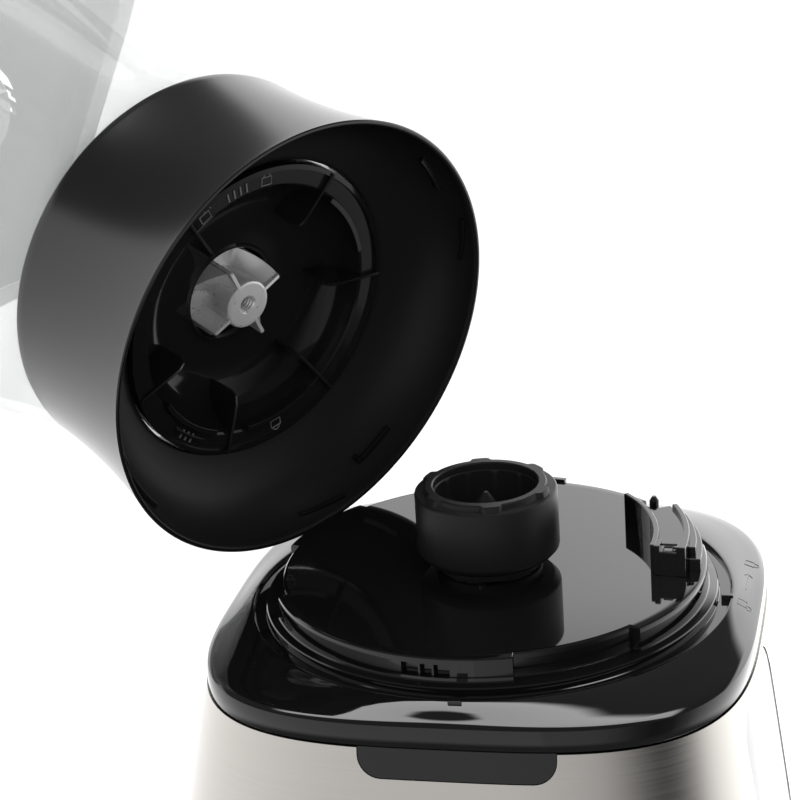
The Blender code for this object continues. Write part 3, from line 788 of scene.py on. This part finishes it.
@dataclass
class SeatCover:
    """The gloss black top: a side band, a sloping skirt, the collar's groove and the raised seat."""

    seat: float = 200.0
    power: float = 3.3
    gap_half: float = 17.0
    gap_at: tuple[float, ...] = (33.0, 99.0, 213.0, 303.0)
    window: tuple[float, float] = (168.0, 179.5)
    count: int = 720

    def _sector(self, low: float, high: float) -> np.ndarray:
        """Which ring points lie between two angles in degrees."""
        return ((np.degrees(circle(self.count)) - low) % 360) <= (high - low)

    def _seat_radius(self, base: float, z: float) -> np.ndarray:
        """The seat wall's radius, with the bayonet gaps and the sensor window cut back.

        Args:
            base: the radius where nothing is cut.
            z: the height.

        Returns:
            One radius for each point of the ring.
        """
        r = np.full(self.count, base)
        for middle in self.gap_at:
            r = np.where(self._sector(middle - self.gap_half, middle + self.gap_half), base - 2.8, r)
        low, high = self.window
        if self.seat - 6.2 < z < self.seat - 2.2:
            inside = self._sector(low, high) & ~self._sector(172.0, 172.9) & ~self._sector(175.2, 176.1)
            r = np.where(inside, base - 2.4, r)
        return r

    def _square(self, half: float, share: float = 1.0, round_radius: float = 78.0) -> np.ndarray:
        """Radii between a circle and the rounded square."""
        return bowed(half, self.power, self.count) * share + (1 - share) * round_radius

    def rings(self) -> list[np.ndarray]:
        """The cover's rings, from the band's lower edge over the top and back underneath."""
        s, n = self.seat, self.count
        out = [ring(self._square(86.9), 178.9, n), ring(self._square(87.1), 179.4, n),
               ring(self._square(86.9), 184.6, n), ring(self._square(86.6), 185.6, n),
               ring(self._square(85.9), 186.3, n), ring(self._square(84.9), 186.75, n)]
        for share, z in ((0.8, 187.6), (0.6, 188.45), (0.4, 189.25), (0.2, 189.9), (0.06, 190.25)):
            out.append(ring(self._square(84.9, share), z, n))
        for r, z in ((78.0, 190.35), (77.6, 190.3), (77.35, 190.0), (77.2, 189.2), (76.9, 189.0),
                     (73.6, 189.0), (73.3, 189.2), (73.2, 191.6), (72.9, 192.0), (72.3, 192.1)):
            out.append(ring(r, z, n))
        for r, z in ((70.5, 192.3), (70.2, 192.7), (70.1, 193.6), (70.1, 193.9), (70.0, 197.6),
                     (70.0, 197.9), (70.0, 198.9), (69.85, 199.5), (69.45, 199.9), (68.9, s)):
            out.append(ring(self._seat_radius(r, z), z, n))
        for r, z in ((66.4, s), (50.0, s), (30.0, s), (18.0, s), (13.6, s), (13.2, 199.8), (13.0, 199.2),
                     (13.0, 195.8), (66.0, 195.8), (66.3, 195.4), (66.6, 186.2)):
            out.append(ring(r, z, n))
        out += [ring(self._square(84.9, 0.5), 184.8, n), ring(self._square(82.8), 183.6, n),
                ring(self._square(82.8), 171.0, n), ring(self._square(84.4), 171.0, n),
                ring(self._square(84.6), 178.7, n)]
        return out

    def build(self) -> None:
        """Makes the cover, its guide and its small marks."""
        cover = Piece("seat_cover", "base", Look.PIANO, ("top_cover",), "black_gloss", sharp=28.0).make(
            skin(self.rings(), True))
        self._guide()
        self._marks()
        self._icons(cover)

    def _guide(self) -> None:
        """The lock guide: an inner arc, a shelf, an outer arc and a block with two cheeks."""
        s = self.seat
        parts = {
            "guide_inner_arc": (arc_band(53.0, 54.7, -96, -48, s - 0.2, s + 10.0),),
            "guide_shelf": (arc_band(54.5, 63.0, -91.5, -62, s - 0.2, s + 8.6),
                            arc_band(54.5, 63.0, -97.0, -91.4, s - 0.2, s + 8.2, 6)),
            "guide_outer_arc": (arc_band(62.6, 64.4, -96.6, -64, s - 0.2, s + 10.0),),
            "guide_cheeks": (arc_band(54.3, 56.2, -97.1, -91.0, s - 0.1, s + 10.2, 6),
                             arc_band(61.6, 64.6, -97.1, -93.0, s - 0.1, s + 10.2, 6)),
            "guide_step": (arc_band(64.2, 68.4, -92.5, -70, s - 0.2, s + 4.2),
                           arc_band(64.2, 66.6, -90.0, -66, s + 4.0, s + 7.0)),
        }
        for name, shapes in parts.items():
            Piece(name, "base", Look.PIANO, (), "black_gloss", edge=0.35).make(shapes[0].plus(*shapes[1:]))

    def _marks(self) -> None:
        """Small raised marks round the groove that show where the collar goes."""
        s = self.seat
        front = arc_band(74.4, 78.2, -90.6, -89.2, s - 11.2, s - 9.1, 4)
        left = arc_band(76.6, 79.6, -179.4, -176.4, s - 10.2, s - 9.0, 4)
        rear = arc_band(69.4, 71.4, -12.0, -7.0, s - 3.0, s + 0.9, 6)
        Piece("groove_marks", "base", Look.PIANO, (), "black_gloss", edge=0.2).make(front.plus(left, rear))
        peg = turned([(1.3, s - 0.2), (1.3, s + 0.6), (0.9, s + 0.9)], 24, False).moved(-18.6, -0.7, 0)
        Piece("seat_locator", "base", Look.PIANO, (), "black_gloss").make(peg)

    def _icons(self, cover: bpy.types.Object) -> None:
        """Padlock and arrow prints, laid on the cover by casting them down onto it.

        Args:
            cover: the cover's object.
        """
        s = self.seat
        tree = BVHTree.FromObject(cover, bpy.context.evaluated_depsgraph_get())
        place = PLACE.base()

        def laid(strokes: Sequence[Sequence[tuple[float, float]]], at: tuple[float, float], spin: float,
                 half: float = 0.22) -> Shape:
            """Strokes as thin raised ribbons that follow the surface below them.

            Args:
                strokes: lines of (x, y).
                at: where their origin goes.
                spin: how far they are turned, in degrees.
                half: half the ribbons' width.

            Returns:
                The ribbons.
            """
            c, sn = math.cos(math.radians(spin)), math.sin(math.radians(spin))
            made: Shape | None = None
            for stroke in strokes:
                line = []
                for x, y in stroke:
                    px, py = at[0] + x * c - y * sn, at[1] + x * sn + y * c
                    hit = tree.ray_cast(place @ Vector((px, py, s + 40)), Vector((0, 0, -1)))[0]
                    line.append((px, py, hit.z / MM if hit else s))
                rod = tube(np.array(line), half, 0.12, (0, 0, 1), 8)
                made = rod if made is None else made.plus(rod)
            return made

        shackle = [(1.3 * math.cos(t), 1.4 + 1.5 * math.sin(t)) for t in np.linspace(0, math.pi, 9)]
        open_shackle = [(x + 1.6, y) for x, y in shackle]
        box = [(-1.9, 1.3), (1.9, 1.3), (1.9, -1.6), (-1.9, -1.6), (-1.9, 1.3)]
        arrow = [[(-6.5, 0), (6.0, 0)], [(4.6, 1.2), (6.2, 0), (4.6, -1.2)]]
        prints = laid([shackle, box], (30.5, -81.2), 180).plus(
            laid([open_shackle, box], (-2.0, -81.4), 180), laid(arrow, (15.0, -81.5), 0))
        Piece("lock_prints", "base", Look.PRINT, (), "panel_grey").make(prints)
        raised = laid([shackle, box], (-4.9, -58.6), 175, 0.3).moved(0, 0, 8.35)
        Piece("guide_padlock", "base", Look.ICON, (), "black_gloss").make(raised)


@dataclass
class DriveCoupling:
    """The rubber sleeve on the motor's shaft, with its ringed mouth and pointed spindle."""

    radius: float = 23.0
    top: float = 226.8
    bottom: float = 204.0
    lobes: int = 6
    flutes: int = 12
    count: int = 240

    def build(self) -> None:
        """Makes the sleeve and the spindle in it."""
        r, t, b, n = self.radius, self.top, self.bottom, self.count
        lobe = self._bumps(self.lobes, 15.0, 10.0, 3.0)
        flute = 0.35 * self._bumps(self.flutes, 0.0, 4.5, 3.5)
        outside = [(r - 2.4, b), (r - 1.9, b + 0.3), (r - 0.2, b + 2.2), (r, b + 3.0), (r, t - 1.7),
                   (r - 0.15, t - 1.2), (r - 0.6, t - 0.8)]
        mouth = [(20.0 + 1.7 * lobe, t - 0.75), (19.8 + 1.7 * lobe, t - 0.4), (19.7 + 1.6 * lobe, t + 0.7),
                 (19.3 + 1.6 * lobe, t + 1.15), (17.3, t + 1.2), (16.9, t + 0.8), (16.8, t - 1.2),
                 (16.5, t - 1.6)]
        socket = [(16.5 - 0.9 * flute, t - 2.6), (16.3 - 0.9 * flute, 210.4), (15.6, 209.2), (6.6, 209.0),
                  (6.3, 208.6), (6.3, b - 3.7)]
        neck = [(16.6, b - 3.7), (17.0, b - 3.3), (17.2, b)]
        rings = [ring(radius, z, n) for radius, z in outside + mouth + socket + neck]
        Piece("coupling_sleeve", "rotor", Look.SLEEVE, ("drive_coupling",), "black_rubber").make(
            skin(rings, True))
        self._spindle()

    def _bumps(self, times: int, first: float, half: float, slope: float) -> np.ndarray:
        """Flat-topped bumps spaced evenly round the sleeve.

        Args:
            times: how many.
            first: where the first is, in degrees.
            half: half the width of each at its foot.
            slope: how wide each of its sides is.

        Returns:
            Their height from 0 to 1, one value for each point of the ring.
        """
        angle = np.degrees(circle(self.count))
        out = np.zeros(self.count)
        for k in range(times):
            off = np.abs((angle - first - 360 // times * k + 180) % 360 - 180)
            out = np.maximum(out, np.clip((half - off) / slope, 0, 1))
        return out

    @staticmethod
    def _spindle() -> None:
        """Makes the pointed end of the shaft, which has three soft ridges."""
        n = 96
        ridge = 0.35 * np.cos(3 * circle(n))
        outline = [(5.9, 201.2), (5.9, 213.0), (5.5 + ridge, 215.0), (4.2 + ridge, 219.0),
                   (2.4 + 0.6 * ridge, 222.4), (0.7, 224.6)]
        Piece("spindle_point", "rotor", Look.SLEEVE, ("drive_spindle",), "grey_plastic").make(
            skin([ring(r, z, n) for r, z in outline]),
            cut=[turned([(4.05, 199), (4.05, 207.3)], 48, False)])


# ---- jar -------------------------------------------------------------------------------------------------
@dataclass
class Collar:
    """The flared collar under the glass: satin outside, dull inside."""

    dock: float = 190.8
    rim: float = 76.5
    neck: float = 69.05
    height: float = 65.7
    curve: float = 2.1

    def outside(self, z: float) -> float:
        """Radius of the outside at a height above the rim."""
        return self.neck + (self.rim - self.neck) * max(0.0, 1 - z / self.height) ** self.curve

    def build(self) -> None:
        """Makes the outer shell, the lining and the bayonet lugs."""
        d, h = self.dock, self.height
        rise = list(np.linspace(1.2, h - 1.6, 30))
        outer = [(self.rim - 1.1, d + 0.05), (self.rim - 0.45, d + 0.12), (self.rim - 0.1, d + 0.5)]
        outer += [(self.outside(z), d + z) for z in rise]
        outer += [(self.neck - 0.2, d + h - 0.5), (self.neck - 0.9, d + h), (65.9, d + h),
                  (65.6, d + h - 0.4), (65.6, d + h - 8), (self.outside(h - 8) - 1.0, d + h - 8.5)]
        outer += [(self.outside(z) - 1.0, d + z) for z in rise[::-1] if 0.8 < z < h - 10]
        outer.append((self.rim - 1.1, d + 0.35))
        Piece("collar_outer", "jar", Look.SATIN, ("collar",), "black_satin", True).make(turned(outer))
        inner = [(self.outside(z) - 1.05, d + z) for z in np.linspace(0.3, 33.4, 24)]
        inner += [(53.2, d + 33.4), (53.0, d + 33.2), (53.0, d + 27.4), (53.15, d + 27.0)]
        bend = smooth_path([(53.4, 26.8, 0), (57.5, 25.3, 0), (62, 23, 0), (66.5, 19.5, 0), (70, 15, 0),
                            (72.5, 10, 0), (74.0, 5, 0), (74.5, 1.2, 0)])
        inner += [(r, d + z) for r, z, _ in bend]
        inner += [(self.rim - 1.7, d + 0.5), (self.rim - 1.4, d + 0.3)]
        Piece("collar_lining", "jar", Look.LINING, (), "black_gloss", True).make(turned(inner))
        self._lugs()

    def _lugs(self) -> None:
        """Four hooked lugs and the ramps that lead to them."""
        d = self.dock
        for k, at in enumerate((-145, -55, 35, 125)):
            foot = arc_band(70.8, 74.0, at - 7, at + 6, d + 9.0, d + 10.6, 8)
            hook = arc_band(71.2, 73.6, at + 4.6, at + 6.4, d + 9.2, d + 14.0, 3)
            ramp = arc_band(72.6, 74.6, at + 16, at + 30, d + 3.2, d + 4.6, 10)
            lean = ramp.mapped(lambda p, a=at: self._leaned(p, a + 16))
            Piece(f"bayonet_lug_{k + 1}", "jar", Look.INNER, (), "black_gloss", True, edge=0.25).make(
                foot.plus(hook, lean))

    @staticmethod
    def _leaned(points: np.ndarray, start: float) -> np.ndarray:
        """Raises points as they go round from an angle.

        Args:
            points: the points.
            start: the angle in degrees.

        Returns:
            The raised points.
        """
        out = points.copy()
        gone = (np.degrees(np.arctan2(points[:, 1], points[:, 0])) - start + 180) % 360 - 180
        out[:, 2] += 0.22 * gone
        return out


@dataclass
class GlassJar:
    """The thick clear jar: round at its neck and square above, with ridged corners and a glass handle."""

    dock: float = 190.8
    thick: float = 4.2
    levels: tuple[tuple[float, float, float], ...] = (
        (33.6, 62.5, 62.5), (34.6, 63.8, 63.8), (36, 64.2, 64.2), (50, 64.3, 64.2), (66.2, 64.4, 64.0),
        (68.5, 64.5, 57), (71, 64.8, 48), (76, 65.1, 41.5), (84, 66.0, 36), (93, 67.9, 33),
        (103, 70.0, 31.5), (113, 72.1, 30.9), (124, 73.8, 30.5), (140, 75.6, 30), (160, 77.0, 29.5),
        (190, 78.3, 29),
        (222, 79.2, 28.6), (229, 79.4, 28.5), (231.3, 79.3, 28.5), (232, 78.6, 28.2))
    grip: tuple[tuple[float, float], ...] = (
        (70, 196), (94, 204), (109, 200), (115, 184), (112, 156), (102, 128), (86, 112), (68, 112))

    def _ridge(self, z: float) -> np.ndarray:
        """How far every corner stands out between its two grooves, from just above the collar.

        Args:
            z: the height above the collar's rim.

        Returns:
            The change of radius, one value for each point of the ring.
        """
        t = np.degrees(circle())
        off = np.abs((t - 45 + 45) % 90 - 45)
        grow = np.clip((z - 68) / 14, 0, 1) * np.clip((226 - z) / 6, 0, 1)
        groove = np.exp(-(((off - 15.5) / 1.5) ** 2))
        return grow * (-1.5 * groove + 0.5 * np.exp(-((off / 9.0) ** 2)))

    def build(self) -> None:
        """Makes the jar and its handle in one body of glass."""
        d = self.dock
        outer = [ring(filleted(h, c) + self._ridge(z), d + z) for z, h, c in self.levels]
        inner = [ring(filleted(h - self.thick, max(c - self.thick, 3)), d + z)
                 for z, h, c in self.levels[5:][::-1]]
        inner += [ring(59.6, d + 60), ring(58.8, d + 52), ring(55.5, d + 46), ring(50, d + 41.3),
                  ring(46.7, d + 39.7), ring(45.9, d + 39.0), ring(45.8, d + 34.2), ring(46.2, d + 33.6)]
        path = smooth_path([(x, 0.0, d + z) for x, z in self.grip])
        away = np.linspace(-1, 1, len(path)) ** 2
        rod = tube(path, 10.0 + 2.2 * away, 5.6 + 1.6 * away**3, (0, 1, 0))
        core = skin([ring(filleted(h - 2.2, max(c - 2.2, 3), 96), d + z, 96)
                     for z, h, c in self.levels[7:]])
        handle = Piece.bare("handle_tool", rod)
        Piece.carve(handle, core, "DIFFERENCE")
        mesh = handle.data
        rest = Shape(np.array([tuple(v.co) for v in mesh.vertices]),
                     [tuple(p.vertices) for p in mesh.polygons])
        bpy.data.objects.remove(handle, do_unlink=True)
        Piece("glass_body", "jar", Look.GLASS, ("glass_jar",), "jar_glass", True, sharp=50.0).make(
            skin(outer + inner, True), join=[rest])


@dataclass
class BladeUnit:
    """The twist-out unit that closes the jar from below."""

    dock: float = 190.8
    ring_radius: float = 52.2
    rib_at: tuple[float, ...] = (-147.0, -77.0, -20.0, 30.0, 83.0, 140.0)

    def build(self) -> None:
        """Makes the unit's body, ribs and icons."""
        d = self.dock
        edge = self.ring_radius
        under = [(edge, d + 30.6), (edge, d + 24.9), (50.6, d + 24.6), (50.4, d + 25.9), (45.3, d + 26.1),
                 (44.6, d + 26.6), (43.9, d + 28.8), (42.6, d + 32.6), (40.2, d + 36.6), (36.4, d + 39.4),
                 (30, d + 40.8), (22, d + 41.4), (18.2, d + 41.5), (17.4, d + 40.9),
                 (16.8, d + 40.9), (16.4, d + 41.5), (16.4, d + 50.4), (6.3, d + 50.4)]
        over = [(6.3, d + 64), (11.5, d + 64), (13.2, d + 63), (18.8, d + 53.5), (20, d + 47),
                (34, d + 45.4), (41.5, d + 42.4), (44.6, d + 38), (44.9, d + 30.6)]
        Piece("blade_unit_shell", "blade_unit", Look.BOWL, ("blade_unit_base",), "black_gloss", True).make(
            turned(under + over))
        outline = [(51.8, 24.0), (51.8, 26.4), (45.6, 26.6), (44.4, 30), (41.4, 36.6), (35.4, 40.4),
                   (31.5, 41.2), (31.0, 40.6), (30.4, 30.0), (31.4, 27.0), (34.5, 25.6)]
        ribs = [upright([(r, d + z) for r, z in outline], 1.1).spun(a) for a in self.rib_at]
        Piece("blade_unit_ribs", "blade_unit", Look.INNER, (), "black_gloss", True, edge=0.2).make(
            ribs[0].plus(*ribs[1:]))
        self._steps(d)
        self._icons(d)

    def _steps(self, d: float) -> None:
        """Arc ledges between the ribs, which the fingers push against.

        Args:
            d: the height of the docked collar's rim.
        """
        arcs = [arc_band(43.0, 44.9, start, start + 36, d + 24.6, d + 28.0, 12) for start in (-70, 38, 92)]
        arcs.append(arc_band(46.8, 48.0, 98, 116, d + 24.9, d + 26.4, 8))
        Piece("blade_unit_ledges", "blade_unit", Look.INNER, (), "black_gloss", True, edge=0.2).make(
            arcs[0].plus(*arcs[1:]))

    def _icons(self, d: float) -> None:
        """Raised padlocks and grip ticks on the ring.

        Args:
            d: the height of the docked collar's rim.
        """
        level = d + 25.9
        shackle = [(1.3 * math.cos(t), 1.3 + 1.4 * math.sin(t)) for t in np.linspace(0, math.pi, 9)]
        box = [(-2.0, 1.2), (2.0, 1.2), (2.0, -1.6), (-2.0, -1.6), (-2.0, 1.2)]
        made: list[Shape] = []
        for at, shift in ((-109, 0.0), (-140, 1.7), (58, 0.0)):
            for stroke in ([(x + shift, y) for x, y in shackle], box):
                path = np.array([(y + 47.6, x, level) for x, y in stroke])
                made.append(tube(path, 0.16, 0.22, (0, 0, 1), 8).spun(at))
        for at in (-128, -125, -122, -119, 104, 107, 110):
            made.append(slab(46.2, 49.4, -0.25, 0.25, level - 0.35, level + 0.1).spun(at))
        Piece("blade_unit_icons", "blade_unit", Look.ICON, (), "black_gloss", True).make(
            made[0].plus(*made[1:]))


@dataclass
class DrivenCoupling:
    """The cast coupling under the blades: a threaded hub, four fins and a ramp up to each."""

    dock: float = 190.8
    hub: float = 8.6
    face: float = 31.5
    reach: float = 15.2
    threads: int = 9
    pitch: float = 1.25
    level: tuple[float, float] = (0.48, 12.4)
    grid: tuple[int, int] = (20, 9)
    fin_at: tuple[float, ...] = (40.0, 130.0, 222.0, 313.0)

    def build(self) -> None:
        """Makes the coupling."""
        d = self.dock
        section = [(3.3, d + self.face), (3.5, d + self.face), (self.hub - 1.1, d + self.face),
                   (self.hub - 0.7, d + self.face), (self.hub - 0.25, d + self.face + 0.2),
                   (self.hub, d + self.face + 0.9), (self.hub, d + 45.5), (15.3, d + 46.0),
                   (15.3, d + 48.6),
                   (4.1, d + 48.6), (4.1, d + 43.8)]
        for k in range(self.threads):
            z = d + 43.6 - self.pitch * k
            section += [(2.5, z), (3.0, z - 0.6)]
        section += [(2.5, d + self.face + 0.8), (3.2, d + self.face + 0.1)]
        body = turned(section, 96)
        ramps = [self._ramp(d, a) for a in self.fin_at]
        fins = [upright([(self.hub - 1.6, d + self.face - 0.1), (self.reach - 0.4, d + self.face + 0.3),
                         (self.reach, d + self.face + 0.8), (self.reach, d + 46.6),
                         (self.hub - 1.6, d + 46.6)], 1.3).spun(a) for a in self.fin_at]
        Piece("driven_coupling_cast", "blade", Look.CAST, ("driven_coupling",), "die_cast", True,
              edge=0.22).make(body.plus(*ramps, *fins))

    def _ramp(self, d: float, start: float) -> Shape:
        """A quarter that is level from one fin and then rises in a straight ramp to the next.

        Args:
            d: the height of the docked collar's rim.
            start: the angle of the first fin in degrees.

        Returns:
            The closed shape.
        """
        (steps, across), (flat, height) = self.grid, self.level
        top, low = [], []
        for i in range(steps + 1):
            t = i / steps
            a = math.radians(start + 1.5 + 87 * t)
            for k in range(across + 1):
                u = k / across
                r = self.hub - 0.4 + (self.reach - self.hub + 0.4) * u
                rise = height * max(0.0, (t - flat) / (1 - flat))
                top.append((r * math.cos(a), r * math.sin(a), d + 45.6 - rise))
                low.append((r * math.cos(a), r * math.sin(a), d + 46.8))
        n = across + 1
        points, faces, m = np.array(top + low), [], len(top)
        for i in range(steps):
            for k in range(across):
                q = (i * n + k, i * n + k + 1, (i + 1) * n + k + 1, (i + 1) * n + k)
                faces += [q, tuple(m + j for j in q[::-1])]
            faces += [(i * n, (i + 1) * n, m + (i + 1) * n, m + i * n),
                      (i * n + across, m + i * n + across, m + (i + 1) * n + across, (i + 1) * n + across)]
        for k in range(across):
            e = steps * n
            faces += [(k, m + k, m + k + 1, k + 1), (e + k, e + k + 1, m + e + k + 1, m + e + k)]
        return Shape(points, faces)


# ---- studio ----------------------------------------------------------------------------------------------
@dataclass
class Studio:
    """The camera, the floor, the white room and one lamp.

    The band's stops are a share of the way round, from -180 degrees, and a brightness that scale
    multiplies. A mask's two numbers are where it is 0 and where it is 1, along the way it looks.
    """

    seat: float = 200.0
    eye: tuple[float, float, float] = (-696.7, -140.8, 319.8)
    azimuth: float = -76.53
    elevation: float = 20.24
    roll: float = 4.03
    lens: float = 108.0
    floor_half: float = 12.0
    room: float = 1.12
    behind: float = 0.75
    ceiling: float = 0.14
    overhead: float = 5.0
    scale: float = 3.0
    lower_mask: tuple[float, float] = (-0.66, -0.5)
    upper_mask: tuple[float, float] = (0.5, 0.42)
    box_masks: tuple[tuple[float, float], ...] = ((0.82, 0.88), (0.02, 0.08))
    lamp_at: tuple[float, float, float] = (0.3, 0.2, 1.6)
    lamp_size: float = 1.4
    lamp_power: float = 6.0
    floor_tints: tuple[float, float] = (0.93, 0.95)
    band: tuple[tuple[float, float], ...] = (
        (0.0, 0.2), (0.05, 0.18), (0.11, 0.05), (0.145, 0.015), (0.185, 0.03), (0.225, 0.13), (0.26, 0.32),
        (0.30, 0.47), (0.39, 0.72), (0.46, 0.9), (0.495, 0.72), (0.53, 0.5), (0.62, 0.45), (0.75, 0.36),
        (0.86, 0.3), (0.95, 0.24))

    def build(self) -> None:
        """Sets up everything that isn't part of the machine."""
        self._camera()
        self._floor()
        self._world()
        self._lamps()

    def _camera(self) -> None:
        """A long lens that looks down on the seat and is rolled a little."""
        cam = bpy.data.objects.new("camera", bpy.data.cameras.new("camera"))
        bpy.context.scene.collection.objects.link(cam)
        cam.data.lens, cam.data.sensor_width = self.lens, 36.0
        cam.data.clip_start, cam.data.clip_end = 0.02, 60.0
        a, e, r = (math.radians(v) for v in (self.azimuth, self.elevation, self.roll))
        forward = Vector((-math.sin(a) * math.cos(e), math.cos(a) * math.cos(e), -math.sin(e)))
        level = Vector((math.cos(a), math.sin(a), 0.0))
        up = level.cross(forward)
        side = level * math.cos(r) - up * math.sin(r)
        up = side.cross(forward)
        turn = Matrix((side, up, -forward)).transposed().to_4x4()
        eye = PLACE.base() @ Vector((0, 0, self.seat)) + Vector(self.eye) * MM
        cam.matrix_world = Matrix.Translation(eye) @ turn
        bpy.context.scene.camera = cam

    def _floor(self) -> None:
        """A plain pale floor, kept out of reflections so that the studio's shape shows in the gloss."""
        h = self.floor_half / MM
        floor = Piece.bare("floor", drawn([(-h, -h), (h, -h), (h, h), (-h, h)], -60.0, -0.2))
        floor.data.transform(Matrix.Scale(MM, 4))
        floor.visible_glossy = floor.visible_transmission = False
        made = bpy.data.materials.new("pale_floor")
        made.use_nodes = True
        net = Net(made.node_tree)
        low, high = ((grey, grey, grey) for grey in self.floor_tints)
        net.finish(Base_Color=net.between(net.noise(3.0), low, high), Roughness=0.7)
        floor.data.materials.append(made)

    def _world(self) -> None:
        """An even white room, whose gloss shows a low bright band, a dark ceiling and an overhead box."""
        world = bpy.data.worlds.new("studio")
        bpy.context.scene.world = world
        bpy.context.scene.view_settings.view_transform = "Standard"
        world.use_nodes = True
        net = Net(world.node_tree)
        way = net.node("SeparateXYZ", None, Vector=net.out(net.node("TexCoord"), "Generated"))
        x, y, z = (net.out(way, axis) for axis in "XYZ")
        around = net.maths("ARCTAN2", y, x) * (0.5 / math.pi) + 0.5
        level = net.out(net.node("ValToRGB", {"stops": self.band}, Fac=around), "Color") * self.scale
        low = net.step(z, *self.upper_mask) * net.step(z, *self.lower_mask)
        box = net.step(z, *self.box_masks[0]) * net.step(x, *self.box_masks[1])
        glow = low * (level - self.ceiling) + box * self.overhead + self.ceiling
        white = (1.0, 1.0, 1.0, 1.0)
        lamp = net.node("Background", None, Color=white, Strength=glow)
        path = net.node("LightPath")
        through = net.out(path, "Is Transmission Ray")
        plain = net.node("Background", None, Color=white, Strength=through * self.behind + self.room)
        seen = net.out(path, "Is Glossy Ray") * (1.0 - through)
        mixed = net.node("MixShader", None, Fac=seen)
        net.tree.links.new(plain.outputs[0], mixed.inputs[1])
        net.tree.links.new(lamp.outputs[0], mixed.inputs[2])
        output = net.node("OutputWorld")
        net.tree.links.new(mixed.outputs[0], output.inputs["Surface"])

    def _lamps(self) -> None:
        """One large soft box above, which only shapes the matte surfaces."""
        data = bpy.data.lights.new("top_box", "AREA")
        data.shape, data.size, data.energy = "SQUARE", self.lamp_size, self.lamp_power
        lamp = bpy.data.objects.new("top_box", data)
        bpy.context.scene.collection.objects.link(lamp)
        lamp.location = self.lamp_at
        lamp.visible_glossy = False


CARRIED: dict[Look, tuple[str, ...]] = {
    Look.SPUN: ("speed_knob",),
    Look.SATIN: ("pulse_button", "ice_button", "power_button", "bottom_pan", "lid", "interlock_pin"),
    Look.FOOT: ("cord_gland", "shaft_seal", *(f"foot_{k}" for k in range(1, 5))),
    Look.SEAL: ("lid_seal", "blade_unit_gasket"),
    Look.CUP: ("measuring_cap",),
    Look.GROUND: ("motor_shaft", "blade_shaft", "lower_blade", "upper_blade", "blade_nut", "blade_spacer",
                  "upper_bearing", "lower_bearing", "motor_stator", "rotor_core"),
    Look.BRASS: ("shaft_bush", *(f"motor_screw_{k}" for k in range(1, 5))),
    Look.WINDING: ("field_coil_1", "field_coil_2", "commutator"),
    Look.TAB: ("cooling_fan", "motor_cradle", "carbon_brush_1", "carbon_brush_2", "speed_switch",
               "interlock_switch"),
    Look.CAST: ("upper_bracket", "lower_bracket"),
    Look.BOARD: ("control_board",),
}


def dress_carried() -> None:
    """Gives every CAD node that stays visible its finish."""
    for look, names in CARRIED.items():
        for name in names:
            for slot in frame["nodes"][name].material_slots:
                slot.material = look.material
            LOG.info("%s: %s", name, look.name)


def main() -> None:
    """Builds the machine's looks in order."""
    logging.basicConfig(level=logging.INFO, format="%(name)s %(message)s")
    Studio().build()
    for assembly in (Wrapper(), SeatCover(), DriveCoupling(), Collar(), GlassJar(), BladeUnit(),
                     DrivenCoupling()):
        assembly.build()
    dress_carried()


if __name__ == "__main__":
    main()
